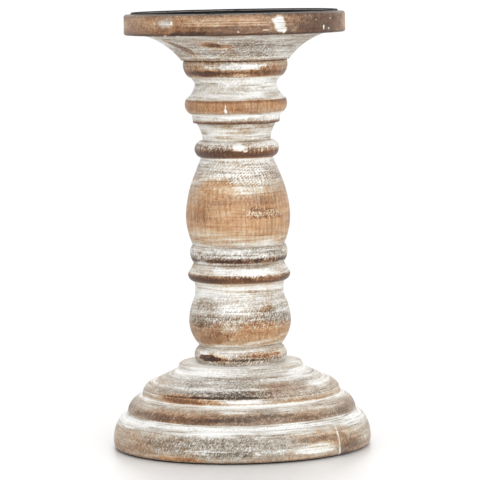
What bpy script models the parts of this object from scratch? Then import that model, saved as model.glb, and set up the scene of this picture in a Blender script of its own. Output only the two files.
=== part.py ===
"""Turned wooden candlestick with a black steel candle pan.

The stem is a stack of turned sections joined by glued dowels.  One long
screw from below clamps the base and the collar to the lowest section.
Lengths are in millimetres here and become metres when a mesh is made.
Everything is turned about the Z axis, and the felt stands on z = 0.
"""
import bpy
import bmesh
import math

MM = 0.001
GAP = 0.3                      # clearance kept between neighbouring pieces

# Heights of the joint planes and of the main faces
FELT_THICK = 0.8
BASE_BOTTOM = FELT_THICK + GAP
BASE_TOP = 49.4
COLLAR_TOP = 59.0
LOWER_TOP = 107.6
DISC_TOP = 118.1
BULB_TOP = 178.9
UPPER_TOP = 225.8
RIM_BOTTOM = 241.0
PLATE_TOP = 252.8
PAN_TOP = 254.0

# Radii of the turned outline
BASE_R = 75.5
FELT_R = 72.0
OVOLO_R = 66.8
DOME_R = 57.2
LOWER_R = 29.9
COLLAR_R = 27.1
BULB_R = 30.5
BEAD_R = 30.3
PLATE_R = 64.3
PAN_R = 60.0

# Pan and its screw
PAN_SHEET = 1.0
PAN_DEPTH = 5.0
PAN_CORNER = 2.4
PAN_FLOOR = PAN_TOP - PAN_DEPTH
SEAT_FLOOR = PAN_FLOOR - PAN_SHEET - GAP
SHEET_EDGE = 0.3
DIMPLE_R = 4.45
DIMPLE_DROP = 2.2
SEAT_HOLE_R = 5.4
SEAT_HOLE_DROP = 2.0
PAN_SCREW_HEAD_R = 4.0
PAN_SCREW_R = 1.7
PAN_SCREW_TIP = 238.5
PAN_SCREW_PITCH = 1.4
PAN_SCREW_RIDGE = 0.35

# Dowels and the base screw
DOWEL_R = 6.0
DOWEL_CHAMFER = 0.8
DOWEL_END_SPACE = 0.5
TOP_SOCKET = 9.5               # depth of the holes on both sides of a joint
UPPER_SOCKET = 13.0
MIDDLE_SOCKET_BELOW = 9.3
MIDDLE_SOCKET_ABOVE = 9.0
BASE_SCREW_R = 3.0
BASE_SCREW_HOLE_R = 3.4
BASE_SCREW_HEAD_R = 6.0
BASE_SCREW_HEAD = 4.0
BASE_SCREW_TIP = 90.0
BASE_SCREW_THREAD = 62.0
BASE_SCREW_PITCH = 2.8
BASE_SCREW_RIDGE = 0.6
COUNTERBORE_R = 12.0
COUNTERBORE_TOP = 13.5
WASHER_R = 9.0
WASHER_THICK = 1.5

TURNED_SIDES = 40
SMALL_SIDES = 20
SMOOTH_ANGLE = math.radians(32.0)
SAME_POINT = 0.001             # points closer than this are one point

# colour, roughness, metallic
FINISHES = {
    "whitewashed_wood": ((0.66, 0.58, 0.49), 0.72, 0.0),
    "black_pan_steel": ((0.012, 0.011, 0.011), 0.34, 1.0),
    "zinc_plated_steel": ((0.55, 0.56, 0.57), 0.38, 1.0),
    "beech_dowel": ((0.62, 0.45, 0.27), 0.75, 0.0),
    "dark_felt": ((0.05, 0.045, 0.04), 0.95, 0.0),
}


def clear_scene():
    for thing in list(bpy.data.objects):
        bpy.data.objects.remove(thing, do_unlink=True)


def finish(name):
    found = bpy.data.materials.get(name)
    if found:
        return found
    colour, rough, metal = FINISHES[name]
    made = bpy.data.materials.new(name)
    made.use_nodes = True
    shader = made.node_tree.nodes["Principled BSDF"]
    shader.inputs["Base Color"].default_value = (*colour, 1.0)
    shader.inputs["Roughness"].default_value = rough
    shader.inputs["Metallic"].default_value = metal
    made.diffuse_color = (*colour, 1.0)
    return made


def bow(start, end, rise, steps=5):
    """Points of a circular arc from start to end, both included.

    A positive rise bulges away from the axis on an outline that runs upwards.
    """
    (r0, z0), (r1, z1) = start, end
    chord = math.hypot(r1 - r0, z1 - z0)
    across = ((z1 - z0) / chord, -(r1 - r0) / chord)
    radius = (chord * chord / 4.0 + rise * rise) / (2.0 * abs(rise))
    side = math.copysign(1.0, rise)
    half = math.asin(min(1.0, chord / 2.0 / radius))
    if abs(rise) > radius:
        half = math.pi - half
    points = []
    for i in range(steps + 1):
        turn = half * (2.0 * i / steps - 1.0)
        along = 0.5 + radius * math.sin(turn) / chord
        out = side * (radius * math.cos(turn) - radius) + rise
        points.append((r0 + (r1 - r0) * along + across[0] * out,
                       z0 + (z1 - z0) * along + across[1] * out))
    return points


def turn_on_lathe(name, outline, finish_name, sides=TURNED_SIDES):
    """Spin an outline about Z: open with both ends on the axis, or a closed loop."""
    foot = min(z for r, z in outline)
    shape = bmesh.new()
    corners = []
    for k, (r, z) in enumerate(outline):
        if k == 0 or math.dist((r, z), outline[k - 1]) > SAME_POINT:
            corners.append(shape.verts.new((r * MM, 0.0, (z - foot) * MM)))
    for first, second in zip(corners, corners[1:]):
        shape.edges.new((first, second))
    if outline[0][0] > 0.0:
        shape.edges.new((corners[-1], corners[0]))
    shape.edges.ensure_lookup_table()
    bmesh.ops.spin(shape, geom=shape.verts[:] + shape.edges[:], cent=(0.0, 0.0, 0.0),
                   axis=(0.0, 0.0, 1.0), angle=2.0 * math.pi, steps=sides, use_merge=True)
    bmesh.ops.remove_doubles(shape, verts=shape.verts[:], dist=SAME_POINT * MM)
    bmesh.ops.recalc_face_normals(shape, faces=shape.faces[:])
    mesh = bpy.data.meshes.new(name)
    shape.to_mesh(mesh)
    shape.free()
    mesh.materials.append(finish(finish_name))
    mesh.shade_smooth()
    mesh.set_sharp_from_angle(angle=SMOOTH_ANGLE)
    thing = bpy.data.objects.new(name, mesh)
    thing.location.z = foot * MM
    bpy.context.scene.collection.objects.link(thing)
    return thing


def cross_cutter(name, half_width, arm, top, depth):
    """Two crossed bars that cut a driver recess downwards from a screw's top."""
    w, a = half_width * MM, arm * MM
    plan = [(w, w), (w, a), (-w, a), (-w, w), (-a, w), (-a, -w),
            (-w, -w), (-w, -a), (w, -a), (w, -w), (a, -w), (a, w)]
    shape = bmesh.new()
    face = shape.faces.new([shape.verts.new((x, y, 0.0)) for x, y in plan])
    raised = bmesh.ops.extrude_face_region(shape, geom=[face])["geom"]
    moved = [part for part in raised if isinstance(part, bmesh.types.BMVert)]
    bmesh.ops.translate(shape, verts=moved, vec=(0.0, 0.0, (depth + 1.0) * MM))
    bmesh.ops.recalc_face_normals(shape, faces=shape.faces[:])
    mesh = bpy.data.meshes.new(name)
    shape.to_mesh(mesh)
    shape.free()
    cutter = bpy.data.objects.new(name, mesh)
    cutter.location.z = (top - depth) * MM
    bpy.context.scene.collection.objects.link(cutter)
    cutter.hide_render = True
    cutter.display_type = "WIRE"
    return cutter


def cut(thing, cutter):
    step = thing.modifiers.new("recess", "BOOLEAN")
    step.operation = "DIFFERENCE"
    step.solver = "EXACT"
    step.object = cutter


def socket_up(face_z, depth):
    """Outline of a dowel hole that enters a section from below."""
    r = DOWEL_R + GAP
    return [(0.0, face_z + depth), (r, face_z + depth), (r, face_z)]


def socket_down(face_z, depth):
    """Outline of a dowel hole that enters a section from above."""
    r = DOWEL_R + GAP
    return [(r, face_z), (r, face_z - depth), (0.0, face_z - depth)]


def thread(radius, start, end, pitch, depth):
    """Outline of screw ridges that runs upwards from start to end."""
    points = []
    turns = int((end - start) / pitch)
    for i in range(turns):
        z = start + i * pitch
        points.append((radius - depth, z))
        points.append((radius, z + pitch * 0.5))
    points.append((radius - depth, start + turns * pitch))
    return points


def top_plate():
    low = UPPER_TOP + GAP / 2.0
    flare = bow((31.5, low), (54.0, RIM_BOTTOM - 0.2), -2.2, 7)
    side = [(57.0, RIM_BOTTOM), (PLATE_R - 0.7, RIM_BOTTOM), (PLATE_R, RIM_BOTTOM + 0.8),
            (PLATE_R, PLATE_TOP - 1.0), (PLATE_R - 0.9, PLATE_TOP)]
    seat_r = PAN_R + GAP
    seat = [(seat_r, PLATE_TOP), (seat_r, SEAT_FLOOR)]
    drop = SEAT_FLOOR - SEAT_HOLE_DROP
    pilot_r = PAN_SCREW_R + GAP
    pilot_end = PAN_SCREW_TIP - 0.5
    screw_hole = [(SEAT_HOLE_R, SEAT_FLOOR), (SEAT_HOLE_R - SEAT_HOLE_DROP, drop), (pilot_r, drop),
                  (pilot_r, pilot_end), (0.0, pilot_end)]
    outline = socket_up(low, TOP_SOCKET) + flare + side + seat + screw_hole
    turn_on_lathe("top_plate", outline, "whitewashed_wood")


def stem_upper():
    low = BULB_TOP + GAP / 2.0
    high = UPPER_TOP - GAP / 2.0
    taper = bow((19.8, low), (23.3, 189.2), -0.7, 4)
    ring = [(25.2, 189.4), (25.9, 194.2)]
    band = bow((26.8, 194.6), (28.9, 203.5), 1.9, 5)
    neck = bow((28.2, 203.8), (23.8, 212.0), -0.8, 4) + bow((23.8, 212.0), (26.7, 215.8), -0.4, 3)
    bead = bow((27.4, 216.1), (BEAD_R, high - 0.7), 1.3, 5)
    outline = socket_up(low, UPPER_SOCKET) + taper + ring + band + neck + bead
    outline += [(BEAD_R - 0.6, high)] + socket_down(high, TOP_SOCKET)
    turn_on_lathe("stem_upper", outline, "whitewashed_wood")


def stem_bulb():
    low = DISC_TOP + GAP / 2.0
    high = BULB_TOP - GAP / 2.0
    belly = bow((26.6, low), (BULB_R, 136.0), 1.1, 5)
    shoulder = bow((BULB_R, 136.0), (26.4, 156.0), 0.8, 5)
    cone = [(21.2, 168.7)]
    ring = bow((21.3, 169.2), (21.5, high), 3.3, 8)
    outline = socket_up(low, MIDDLE_SOCKET_ABOVE) + belly + shoulder + cone + ring
    outline += socket_down(high, UPPER_SOCKET)
    turn_on_lathe("stem_bulb", outline, "whitewashed_wood")


def stem_disc():
    low = LOWER_TOP + GAP / 2.0
    high = DISC_TOP - GAP / 2.0
    r = DOWEL_R + GAP
    edge = bow((26.1, low), (27.3, high), 1.8, 7)
    turn_on_lathe("stem_disc", [(r, low)] + edge + [(r, high)], "whitewashed_wood")


def stem_lower():
    low = COLLAR_TOP + GAP / 2.0
    high = LOWER_TOP - GAP / 2.0
    belly = bow((23.4, low), (LOWER_R, 73.0), 1.4, 5)
    shoulder = bow((LOWER_R, 73.0), (27.6, 85.0), 0.6, 4)
    neck = bow((27.6, 85.0), (26.5, 96.8), -1.2, 5)
    ring = bow((27.1, 97.2), (30.0, 100.9), 0.7, 4) + [(29.8, 101.8), (26.5, high)]
    hole = [(0.0, BASE_SCREW_TIP + 1.0), (BASE_SCREW_HOLE_R, BASE_SCREW_TIP + 1.0),
            (BASE_SCREW_HOLE_R, low)]
    outline = hole + belly + shoulder + neck + ring + socket_down(high, MIDDLE_SOCKET_BELOW)
    turn_on_lathe("stem_lower", outline, "whitewashed_wood")


def stem_collar():
    low = BASE_TOP + GAP / 2.0
    high = COLLAR_TOP - GAP / 2.0
    r = BASE_SCREW_HOLE_R
    edge = bow((25.4, low), (24.6, high), COLLAR_R - 25.0, 8)
    turn_on_lathe("stem_collar", [(r, low)] + edge + [(r, high)], "whitewashed_wood")


def base_turning():
    low = BASE_BOTTOM
    high = BASE_TOP - GAP / 2.0
    plinth = [(74.4, low), (75.2, low + 0.8)]
    plinth += bow((BASE_R, 4.6), (71.4, 17.8), 1.1, 5)
    step = [(70.5, 18.2)] + bow((69.9, 18.4), (67.2, 20.6), -0.5, 2)
    ovolo = [(66.2, 20.8)] + bow((OVOLO_R, 21.8), (58.9, 30.6), 1.8, 6)
    fillet = [(58.2, 30.8), (57.5, 34.0), (56.9, 34.3)]
    dome = bow((DOME_R, 34.8), (51.3, 38.9), 0.7, 4) + bow((51.3, 38.9), (37.6, 45.4), 0.1, 2)
    top = [(36.9, 45.8), (36.3, 48.4), (35.3, high)]
    bore = [(BASE_SCREW_HOLE_R, high), (BASE_SCREW_HOLE_R, COUNTERBORE_TOP),
            (COUNTERBORE_R, COUNTERBORE_TOP), (COUNTERBORE_R, low)]
    outline = plinth + step + ovolo + fillet + dome + top + bore
    turn_on_lathe("base_turning", outline, "whitewashed_wood")


def candle_pan():
    outside = PAN_R
    inside = PAN_R - PAN_SHEET
    under = PAN_FLOOR - PAN_SHEET
    corner = PAN_CORNER
    outline = [(DIMPLE_R + 0.4, under)]
    outline += bow((outside - corner, under), (outside, under + corner), 0.7, 3)
    lip = PAN_TOP - SHEET_EDGE
    outline += [(outside, lip), (outside - SHEET_EDGE, PAN_TOP), (inside + SHEET_EDGE, PAN_TOP), (inside, lip)]
    low_in = corner - PAN_SHEET
    outline += bow((inside, PAN_FLOOR + low_in), (inside - low_in, PAN_FLOOR), -0.41, 3)
    outline += [(DIMPLE_R, PAN_FLOOR), (DIMPLE_R - DIMPLE_DROP, PAN_FLOOR - DIMPLE_DROP),
                (DIMPLE_R - DIMPLE_DROP + 0.7, PAN_FLOOR - DIMPLE_DROP - 0.7)]
    turn_on_lathe("candle_pan", outline, "black_pan_steel")


def pan_screw():
    top = PAN_FLOOR - 0.1
    r = PAN_SCREW_R
    head = [(PAN_SCREW_HEAD_R, top - 0.15), (PAN_SCREW_HEAD_R - 0.1, top), (0.0, top)]
    neck_z = top - (PAN_SCREW_HEAD_R - r)
    ridges = thread(r, PAN_SCREW_TIP + 1.6, neck_z - 0.6, PAN_SCREW_PITCH, PAN_SCREW_RIDGE)
    outline = [(0.0, PAN_SCREW_TIP)] + ridges + [(r, neck_z - 0.2)] + head
    screw = turn_on_lathe("pan_screw", outline, "black_pan_steel", SMALL_SIDES)
    cut(screw, cross_cutter("pan_screw_recess", 0.45, 1.9, top, 1.3))


def base_screw():
    bearing = COUNTERBORE_TOP - WASHER_THICK - 2.0 * GAP
    foot = bearing - BASE_SCREW_HEAD
    r = BASE_SCREW_R
    head = [(0.0, foot), (3.6, foot)] + bow((3.6, foot), (BASE_SCREW_HEAD_R, bearing), 0.8, 4)
    ridges = thread(r, BASE_SCREW_THREAD, BASE_SCREW_TIP - 5.0, BASE_SCREW_PITCH, BASE_SCREW_RIDGE)
    outline = head + [(r, bearing), (r, BASE_SCREW_THREAD - 1.0)] + ridges
    outline += [(1.2, BASE_SCREW_TIP - 1.0), (0.0, BASE_SCREW_TIP)]
    screw = turn_on_lathe("base_screw", outline, "zinc_plated_steel", SMALL_SIDES)
    cut(screw, cross_cutter("base_screw_recess", 0.7, 2.9, foot + 2.2, 3.2))


def base_washer():
    top = COUNTERBORE_TOP - GAP
    low = top - WASHER_THICK
    r = BASE_SCREW_HOLE_R
    outline = [(r, low), (WASHER_R - SHEET_EDGE, low), (WASHER_R, low + SHEET_EDGE),
               (WASHER_R, top), (r, top)]
    turn_on_lathe("base_washer", outline, "zinc_plated_steel", 2 * SMALL_SIDES)


def dowel(name, joint, below, above):
    """A dowel across a joint plane; below and above are the depths of its two sockets."""
    clear = DOWEL_END_SPACE - GAP / 2.0
    low_end = joint - below + clear
    high_end = joint + above - clear
    r = DOWEL_R
    c = DOWEL_CHAMFER
    outline = [(0.0, low_end), (r - c, low_end), (r, low_end + c),
               (r, high_end - c), (r - c, high_end), (0.0, high_end)]
    turn_on_lathe(name, outline, "beech_dowel", SMALL_SIDES)


def base_felt():
    r = FELT_R
    outline = [(0.0, 0.0), (r, 0.0), (r, FELT_THICK), (0.0, FELT_THICK)]
    turn_on_lathe("base_felt", outline, "dark_felt")


def build():
    clear_scene()
    base_felt()
    base_washer()
    base_screw()
    base_turning()
    stem_collar()
    stem_lower()
    stem_disc()
    stem_bulb()
    stem_upper()
    top_plate()
    candle_pan()
    pan_screw()
    dowel("dowel_middle", LOWER_TOP, MIDDLE_SOCKET_BELOW, DISC_TOP - LOWER_TOP + MIDDLE_SOCKET_ABOVE)
    dowel("dowel_upper", BULB_TOP, UPPER_SOCKET, UPPER_SOCKET)
    dowel("dowel_top", UPPER_TOP, TOP_SOCKET, TOP_SOCKET)


build()
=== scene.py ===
"""Looks of the turned, whitewashed candlestick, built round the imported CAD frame.

Lengths inside the builders are in millimetres and become metres when a mesh
is made.  Angles round the object are in degrees from the front (-Y), positive
towards +X.
"""
import math

import bpy
import numpy as np
from mathutils import Matrix, Vector


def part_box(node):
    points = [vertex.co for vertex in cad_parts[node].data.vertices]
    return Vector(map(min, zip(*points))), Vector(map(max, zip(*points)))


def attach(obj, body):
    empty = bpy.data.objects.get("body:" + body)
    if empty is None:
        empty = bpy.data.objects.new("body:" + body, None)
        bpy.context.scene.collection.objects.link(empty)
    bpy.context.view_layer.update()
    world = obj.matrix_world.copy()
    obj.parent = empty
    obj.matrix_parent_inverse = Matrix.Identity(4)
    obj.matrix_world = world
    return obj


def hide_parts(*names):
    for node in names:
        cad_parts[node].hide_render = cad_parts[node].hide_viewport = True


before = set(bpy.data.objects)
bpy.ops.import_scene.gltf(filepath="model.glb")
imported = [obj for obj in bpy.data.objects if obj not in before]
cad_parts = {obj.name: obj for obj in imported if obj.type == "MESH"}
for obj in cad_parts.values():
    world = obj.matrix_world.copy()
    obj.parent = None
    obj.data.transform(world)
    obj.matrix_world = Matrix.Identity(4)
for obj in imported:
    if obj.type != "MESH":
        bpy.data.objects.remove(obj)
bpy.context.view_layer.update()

MM = 0.001

# Camera, as the photograph was taken: distance and height in metres, angles in degrees,
# lens and sensor in millimetres
CAMERA_DISTANCE = 1.753
CAMERA_HEIGHT = 0.2835
CAMERA_PITCH = 5.314
CAMERA_YAW = 0.028
CAMERA_ROLL = -1.105
CAMERA_LENS = 226.3
CAMERA_SENSOR = 36.0

# Sides round the axis: the plate, the stem down to the bulb, everything below it, and the pan
PLATE_SIDES = 640
UPPER_SIDES = 400
LOWER_SIDES = 432
PAN_SIDES = 256

# Longest step between outline points: outside, outside of the base, and in the hidden bores.
# Points closer than the shortest step are dropped.
ROW_STEP = 0.5
BASE_ROW_STEP = 0.8
HIDDEN_STEP = 6.0
SHORTEST_STEP = 0.02

# Corners that turn by LEAST_TURN degrees or more are rounded off; the rest shade sharp past SHARP_ANGLE
EDGE_SOFT = 0.35
LEAST_TURN = 18.0
SHARP_ANGLE = 40.0

# How far a section reaches across the CAD's glue gap, so that the paint looks unbroken
CLOSE = 0.13

# Depths taken off the outline outside the bores: hand wear, turning ripples and fibre relief
WEAR_DEPTH = 0.12
RIPPLE_DEPTH = 0.10
FIBRE_DEPTH = 0.07
BORE_R = 9.0

# Half sizes from its centre past which a patch or chip isn't worked out
PATCH_REACH = 2.1
CHIP_REACH = 1.6

# What a chip of thick wash does to each layer
CHIP_LOOK = (("tone", 0.90), ("warm", 0.0), ("speck", 0.1))


# ---------------------------------------------------------------- outlines

def node_levels(node, grow_low=0.0, grow_high=0.0):
    """Lowest and highest height of a CAD node in millimetres, each moved outwards if asked."""
    low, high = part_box(node)
    return low.z / MM - grow_low, high.z / MM + grow_high


def bow(start, end, rise, steps=16):
    """Points of a circular arc from start to end; a positive rise bulges outwards."""
    (r0, z0), (r1, z1) = start, end
    chord = math.hypot(r1 - r0, z1 - z0)
    across = ((z1 - z0) / chord, -(r1 - r0) / chord)
    radius = (chord * chord / 4.0 + rise * rise) / (2.0 * abs(rise))
    side = math.copysign(1.0, rise)
    half = math.asin(min(1.0, chord / 2.0 / radius))
    points = []
    for i in range(steps + 1):
        turn = half * (2.0 * i / steps - 1.0)
        along = 0.5 + radius * math.sin(turn) / chord
        out = side * (radius * math.cos(turn) - radius) + rise
        points.append((r0 + (r1 - r0) * along + across[0] * out,
                       z0 + (z1 - z0) * along + across[1] * out))
    return points


def soften(points):
    """Rounds the sharp corners of an outline with small arcs."""
    apart = [math.dist(p, q) > SHORTEST_STEP for p, q in zip(points, points[1:])]
    points = [points[0]] + [p for p, far in zip(points[1:], apart) if far]
    done = [points[0]]
    for before, here, after in zip(points, points[1:], points[2:]):
        a = np.subtract(before, here)
        b = np.subtract(after, here)
        la, lb = np.hypot(*a), np.hypot(*b)
        turn = 180.0 - math.degrees(math.acos(np.clip(a @ b / (la * lb), -1.0, 1.0)))
        if turn < LEAST_TURN:
            done.append(here)
            continue
        back = min(EDGE_SOFT * math.tan(math.radians(turn) / 2.0), 0.45 * la, 0.45 * lb)
        first = np.array(here) + a / la * back
        last = np.array(here) + b / lb * back
        for t in (0.0, 0.25, 0.5, 0.75, 1.0):
            mid = (1 - t) ** 2 * first + 2 * t * (1 - t) * np.array(here) + t * t * last
            done.append(tuple(mid))
    done.append(points[-1])
    return done


def resample(points, step):
    """Adds points so that no stretch is longer than step, and drops doubled ones."""
    done = [points[0]]
    for here in points[1:]:
        last = done[-1]
        length = math.dist(here, last)
        if length < SHORTEST_STEP:
            continue
        parts = max(1, math.ceil(length / step))
        for i in range(1, parts + 1):
            done.append((last[0] + (here[0] - last[0]) * i / parts,
                         last[1] + (here[1] - last[1]) * i / parts))
    return done


# ---------------------------------------------------------------- noise on points

# Large numbers that scatter a lattice point's whole-number coordinates and seed
SCATTER = (374761393, 668265263, 2147483647)
SEED_SCATTER = 974634777
STIR = 1274126177
OCTAVE_SHARE = 0.55


def lattice(ix, iy, iz, seed):
    """A repeatable value from 0 to 1 for each whole-number point."""
    h = seed * SEED_SCATTER
    for axis, factor in zip((ix, iy, iz), SCATTER):
        h = h + axis.astype(np.int64) * factor
    h = (h ^ (h >> 13)) * STIR
    h = h ^ (h >> 16)
    return (h & 0xFFFF) / 0xFFFF


def value_noise(points, scale, seed=0):
    """Smooth noise from 0 to 1; scale is the feature size on each axis in millimetres."""
    p = points / np.asarray(scale, float)
    base = np.floor(p)
    f = p - base
    f = f * f * (3.0 - 2.0 * f)
    total = 0.0
    for dx in (0, 1):
        wx = f[:, 0] if dx else 1.0 - f[:, 0]
        for dy in (0, 1):
            wy = f[:, 1] if dy else 1.0 - f[:, 1]
            for dz in (0, 1):
                wz = f[:, 2] if dz else 1.0 - f[:, 2]
                total = total + wx * wy * wz * lattice(base[:, 0] + dx, base[:, 1] + dy,
                                                       base[:, 2] + dz, seed)
    return total


def layered_noise(points, scale, layers, seed=0):
    """Several octaves of value_noise, from 0 to 1."""
    total, weight, share = 0.0, 0.0, 1.0
    for k in range(layers):
        total = total + share * value_noise(points, np.asarray(scale, float) / 2.0 ** k, seed + 17 * k)
        weight += share
        share *= OCTAVE_SHARE
    return total / weight


# ---------------------------------------------------------------- wear and paint

def angle_from(angle, centre):
    """Angles from a centre, in degrees from -180 to 180."""
    return (angle - centre + 180.0) % 360.0 - 180.0


def patch_weight(angle, height, points, patch, seed):
    """1 inside a patch, falling to 0 over a ragged, brushed edge."""
    centre, z0, half_a, half_z, lean = patch
    da = angle_from(angle, centre)
    dz = height - z0 - lean * da
    far = np.sqrt((da / half_a) ** 2 + (dz / half_z) ** 2)
    near = far < PATCH_REACH
    ragged = layered_noise(points[near], (8.0, 8.0, 1.6), 3, seed)
    ragged = ragged + layered_noise(points[near], 2.4, 2, seed + 7)
    weight = np.zeros(len(far))
    weight[near] = np.clip((1.2 - far[near] - (ragged - 1.0) * 0.8) / 0.55, 0.0, 1.0)
    return weight


def chip_weight(angle, height, points, chip, seed):
    """1 inside a small chip of thick wash with a crisp, irregular edge."""
    centre, z0, half_a, half_z = chip
    da = angle_from(angle, centre)
    far = np.sqrt((da / half_a) ** 2 + ((height - z0) / half_z) ** 2)
    near = far < CHIP_REACH
    grain = min(3.2, 1.6 * max(half_z, 0.6))
    ragged = layered_noise(points[near], grain, 3, seed) - 0.5
    weight = np.zeros(len(far))
    weight[near] = np.clip((1.1 - far[near] - ragged * 1.1) / 0.35, 0.0, 1.0)
    return weight


def edge_sharpness(outline):
    """How convex the outline is at each point: positive on edges, negative in grooves."""
    p = np.array(outline)
    count = len(p)
    reach = 3
    value = np.zeros(count)
    for i in range(count):
        a = p[max(0, i - reach)]
        b = p[min(count - 1, i + reach)]
        chord = b - a
        length = np.hypot(*chord)
        if length < 1e-6:
            continue
        # The outer outline runs upwards, so outside is to the right of its direction
        value[i] = ((p[i] - a)[0] * chord[1] - (p[i] - a)[1] * chord[0]) / length
    return value


def surface_wear(flat, seed):
    """Depth of the gentle unevenness, turning ripples and raised fibre at each point."""
    dip = WEAR_DEPTH * layered_noise(flat, (22.0, 22.0, 14.0), 2, seed)
    ripple = value_noise(flat, (60.0, 60.0, 0.9), seed + 3)
    dip += RIPPLE_DEPTH * ripple * value_noise(flat, (30.0, 30.0, 4.0), seed + 4)
    dip += FIBRE_DEPTH * layered_noise(flat, (1.6, 1.6, 6.0), 2, seed + 5)
    return dip


def dent_edges(dip, flat, angle, r, nicks, seed):
    """Adds small knocks at chance places along each named edge."""
    z = flat[:, 2]
    draw = np.random.default_rng(seed)
    for edge_z, count, depth, size in nicks:
        for _ in range(count):
            centre = draw.uniform(0.0, 360.0)
            middle = edge_z + draw.uniform(-0.3, 0.3)
            width = size * draw.uniform(0.5, 1.2)
            deep = depth * draw.uniform(0.4, 1.0)
            across = np.radians(angle_from(angle, centre)) * r / (1.8 * width)
            far = across ** 2 + ((z - middle) / width) ** 2
            near = far < 12.0
            rough = 0.7 + 0.8 * value_noise(flat[near], (1.5, 1.5, 1.0), seed + 9)
            dip[near] += deep * np.exp(-far[near] * rough)


def paint_layers(flat, angle, edge, look, patches, chips, seed):
    """The values that the wood material reads at each vertex, by attribute name."""
    z = flat[:, 2]
    # Brushed wash never follows a height exactly, so its bands wander up and down
    wander = 0.8 * (layered_noise(flat, (24.0, 24.0, 9.0), 3, seed + 21) - 0.5)
    heights, tones, warmths, specks = zip(*look)
    layers = {
        "tone": np.interp(z + wander, heights, tones),
        "warm": np.interp(z + wander, heights, warmths),
        "speck": np.interp(z, heights, specks),
        "tick": np.zeros(len(z)),
    }
    # Wash gathers in grooves and is rubbed off edges
    layers["tone"] += 0.30 * (layered_noise(flat, (30.0, 30.0, 6.0), 3, seed + 31) - 0.5)
    layers["tone"] += np.clip(-edge, 0.0, 0.25) - 0.55 * np.clip(edge, 0.0, 0.3)
    layers["warm"] += 0.5 * (layered_noise(flat, (18.0, 18.0, 10.0), 2, seed + 41) - 0.5)
    for k, (layer, *shape, amount) in enumerate(patches):
        layers[layer] += amount * patch_weight(angle, z, flat, shape, seed + 50 + k)
    for k, chip in enumerate(chips):
        weight = chip_weight(angle, z, flat, chip, seed + 150 + k)
        for layer, goal in CHIP_LOOK:
            layers[layer] += weight * (goal - layers[layer])
    # Mask of the grooves, where the wood material paints shade
    layers["groove"] = np.clip(-edge, 0.0, 0.25) * 4.0
    return layers


# ---------------------------------------------------------------- turned pieces

def around(radius, turn, z):
    """Points at each radius, angle in radians from the front, and height."""
    return np.stack([radius * np.sin(turn), -radius * np.cos(turn), z], 1)


def vertex_grid(outline, sides):
    """Vertex number of each outline point at each side; a point on the axis is one vertex."""
    index = np.arange(len(outline) * sides).reshape(len(outline), sides)
    for k, point in enumerate(outline):
        if point[0] < 0.01:
            index[k] = index[k, 0]
    kept, index = np.unique(index, return_inverse=True)
    return kept, index.reshape(len(outline), sides)


def swept_faces(index):
    """Faces of a closed outline swept round the axis; a stretch along the axis has none."""
    rows, sides = index.shape
    faces = []
    for k in range(rows):
        low, high = index[k], index[(k + 1) % rows]
        for i in range(sides):
            j = (i + 1) % sides
            ring = [low[i], low[j], high[j], high[i]]
            corners = [int(c) for n, c in enumerate(ring) if c != ring[n - 1]]
            if len(corners) > 2:
                faces.append(corners)
    return faces


def smooth_piece(name, points, faces):
    """A smooth-shaded object from points in millimetres."""
    mesh = bpy.data.meshes.new(name)
    mesh.from_pydata((points * MM).tolist(), [], faces)
    mesh.polygons.foreach_set("use_smooth", [True] * len(faces))
    mesh.update()
    piece = bpy.data.objects.new(name, mesh)
    bpy.context.scene.collection.objects.link(piece)
    return piece


def turned(name, outer, inner, sides, look, patches, seed, nicks=(), chips=(), step=ROW_STEP):
    """A turned wooden piece: outer outline upwards, then inner points back to the start.

    look holds rows of (height, tone, warmth, speckle): tone runs from 0, dark
    stain, to 1, opaque white wash.  Each patch is (layer, angle, height, half
    angle, half height, lean, amount), where layer is tone, warm, speck or tick.
    Each nick is (edge height, count, depth, size), and each chip of thick wash
    is (angle, height, half angle, half height).
    """
    outside = resample(soften(outer), step)
    outline = outside + resample([outside[-1]] + inner, HIDDEN_STEP)[1:]
    rows = len(outline)
    sharp = edge_sharpness(outline)
    sharp[len(outside):] = 0.0
    r = np.repeat([q[0] for q in outline], sides)
    z = np.repeat([q[1] for q in outline], sides)
    turn = np.tile(np.linspace(0.0, 2.0 * np.pi, sides, endpoint=False), rows)
    angle = np.degrees(turn)
    flat = around(r, turn, z)

    dip = surface_wear(flat, seed)
    dent_edges(dip, flat, angle, r, nicks, seed)
    worn = np.repeat(np.arange(rows) < len(outside), sides) & (r > BORE_R)
    kept, index = vertex_grid(outline, sides)
    points = around(np.where(worn, r - dip, r), turn, z)
    piece = smooth_piece(name, points[kept], swept_faces(index))
    piece.data.set_sharp_from_angle(angle=math.radians(SHARP_ANGLE))
    layers = paint_layers(flat, angle, np.repeat(sharp, sides), look, patches, chips, seed)
    for label, values in layers.items():
        data = piece.data.attributes.new(label, "FLOAT", "POINT").data
        data.foreach_set("value", values[kept].astype(np.float32))
    piece.data.update()
    return piece


def pressed(name, outline, sides):
    """A smooth piece of pressed sheet whose outline is a closed loop."""
    points = resample(outline, 50.0)
    r = np.repeat([q[0] for q in points], sides)
    z = np.repeat([q[1] for q in points], sides)
    turn = np.tile(np.linspace(0.0, 2.0 * np.pi, sides, endpoint=False), len(points))
    kept, index = vertex_grid(points, sides)
    return smooth_piece(name, around(r, turn, z)[kept], swept_faces(index))


def put(piece, node, material):
    """Gives a piece its material and makes it stand for a CAD node."""
    piece.data.materials.clear()
    piece.data.materials.append(material)
    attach(piece, "root")
    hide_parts(node)


# ---------------------------------------------------------------- materials

def srgb(code):
    """Scene-linear colour of a hex code."""
    values = [int(code[i:i + 2], 16) / 255.0 for i in (1, 3, 5)]
    return tuple(v / 12.92 if v <= 0.04045 else ((v + 0.055) / 1.055) ** 2.4 for v in values) + (1.0,)


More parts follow.
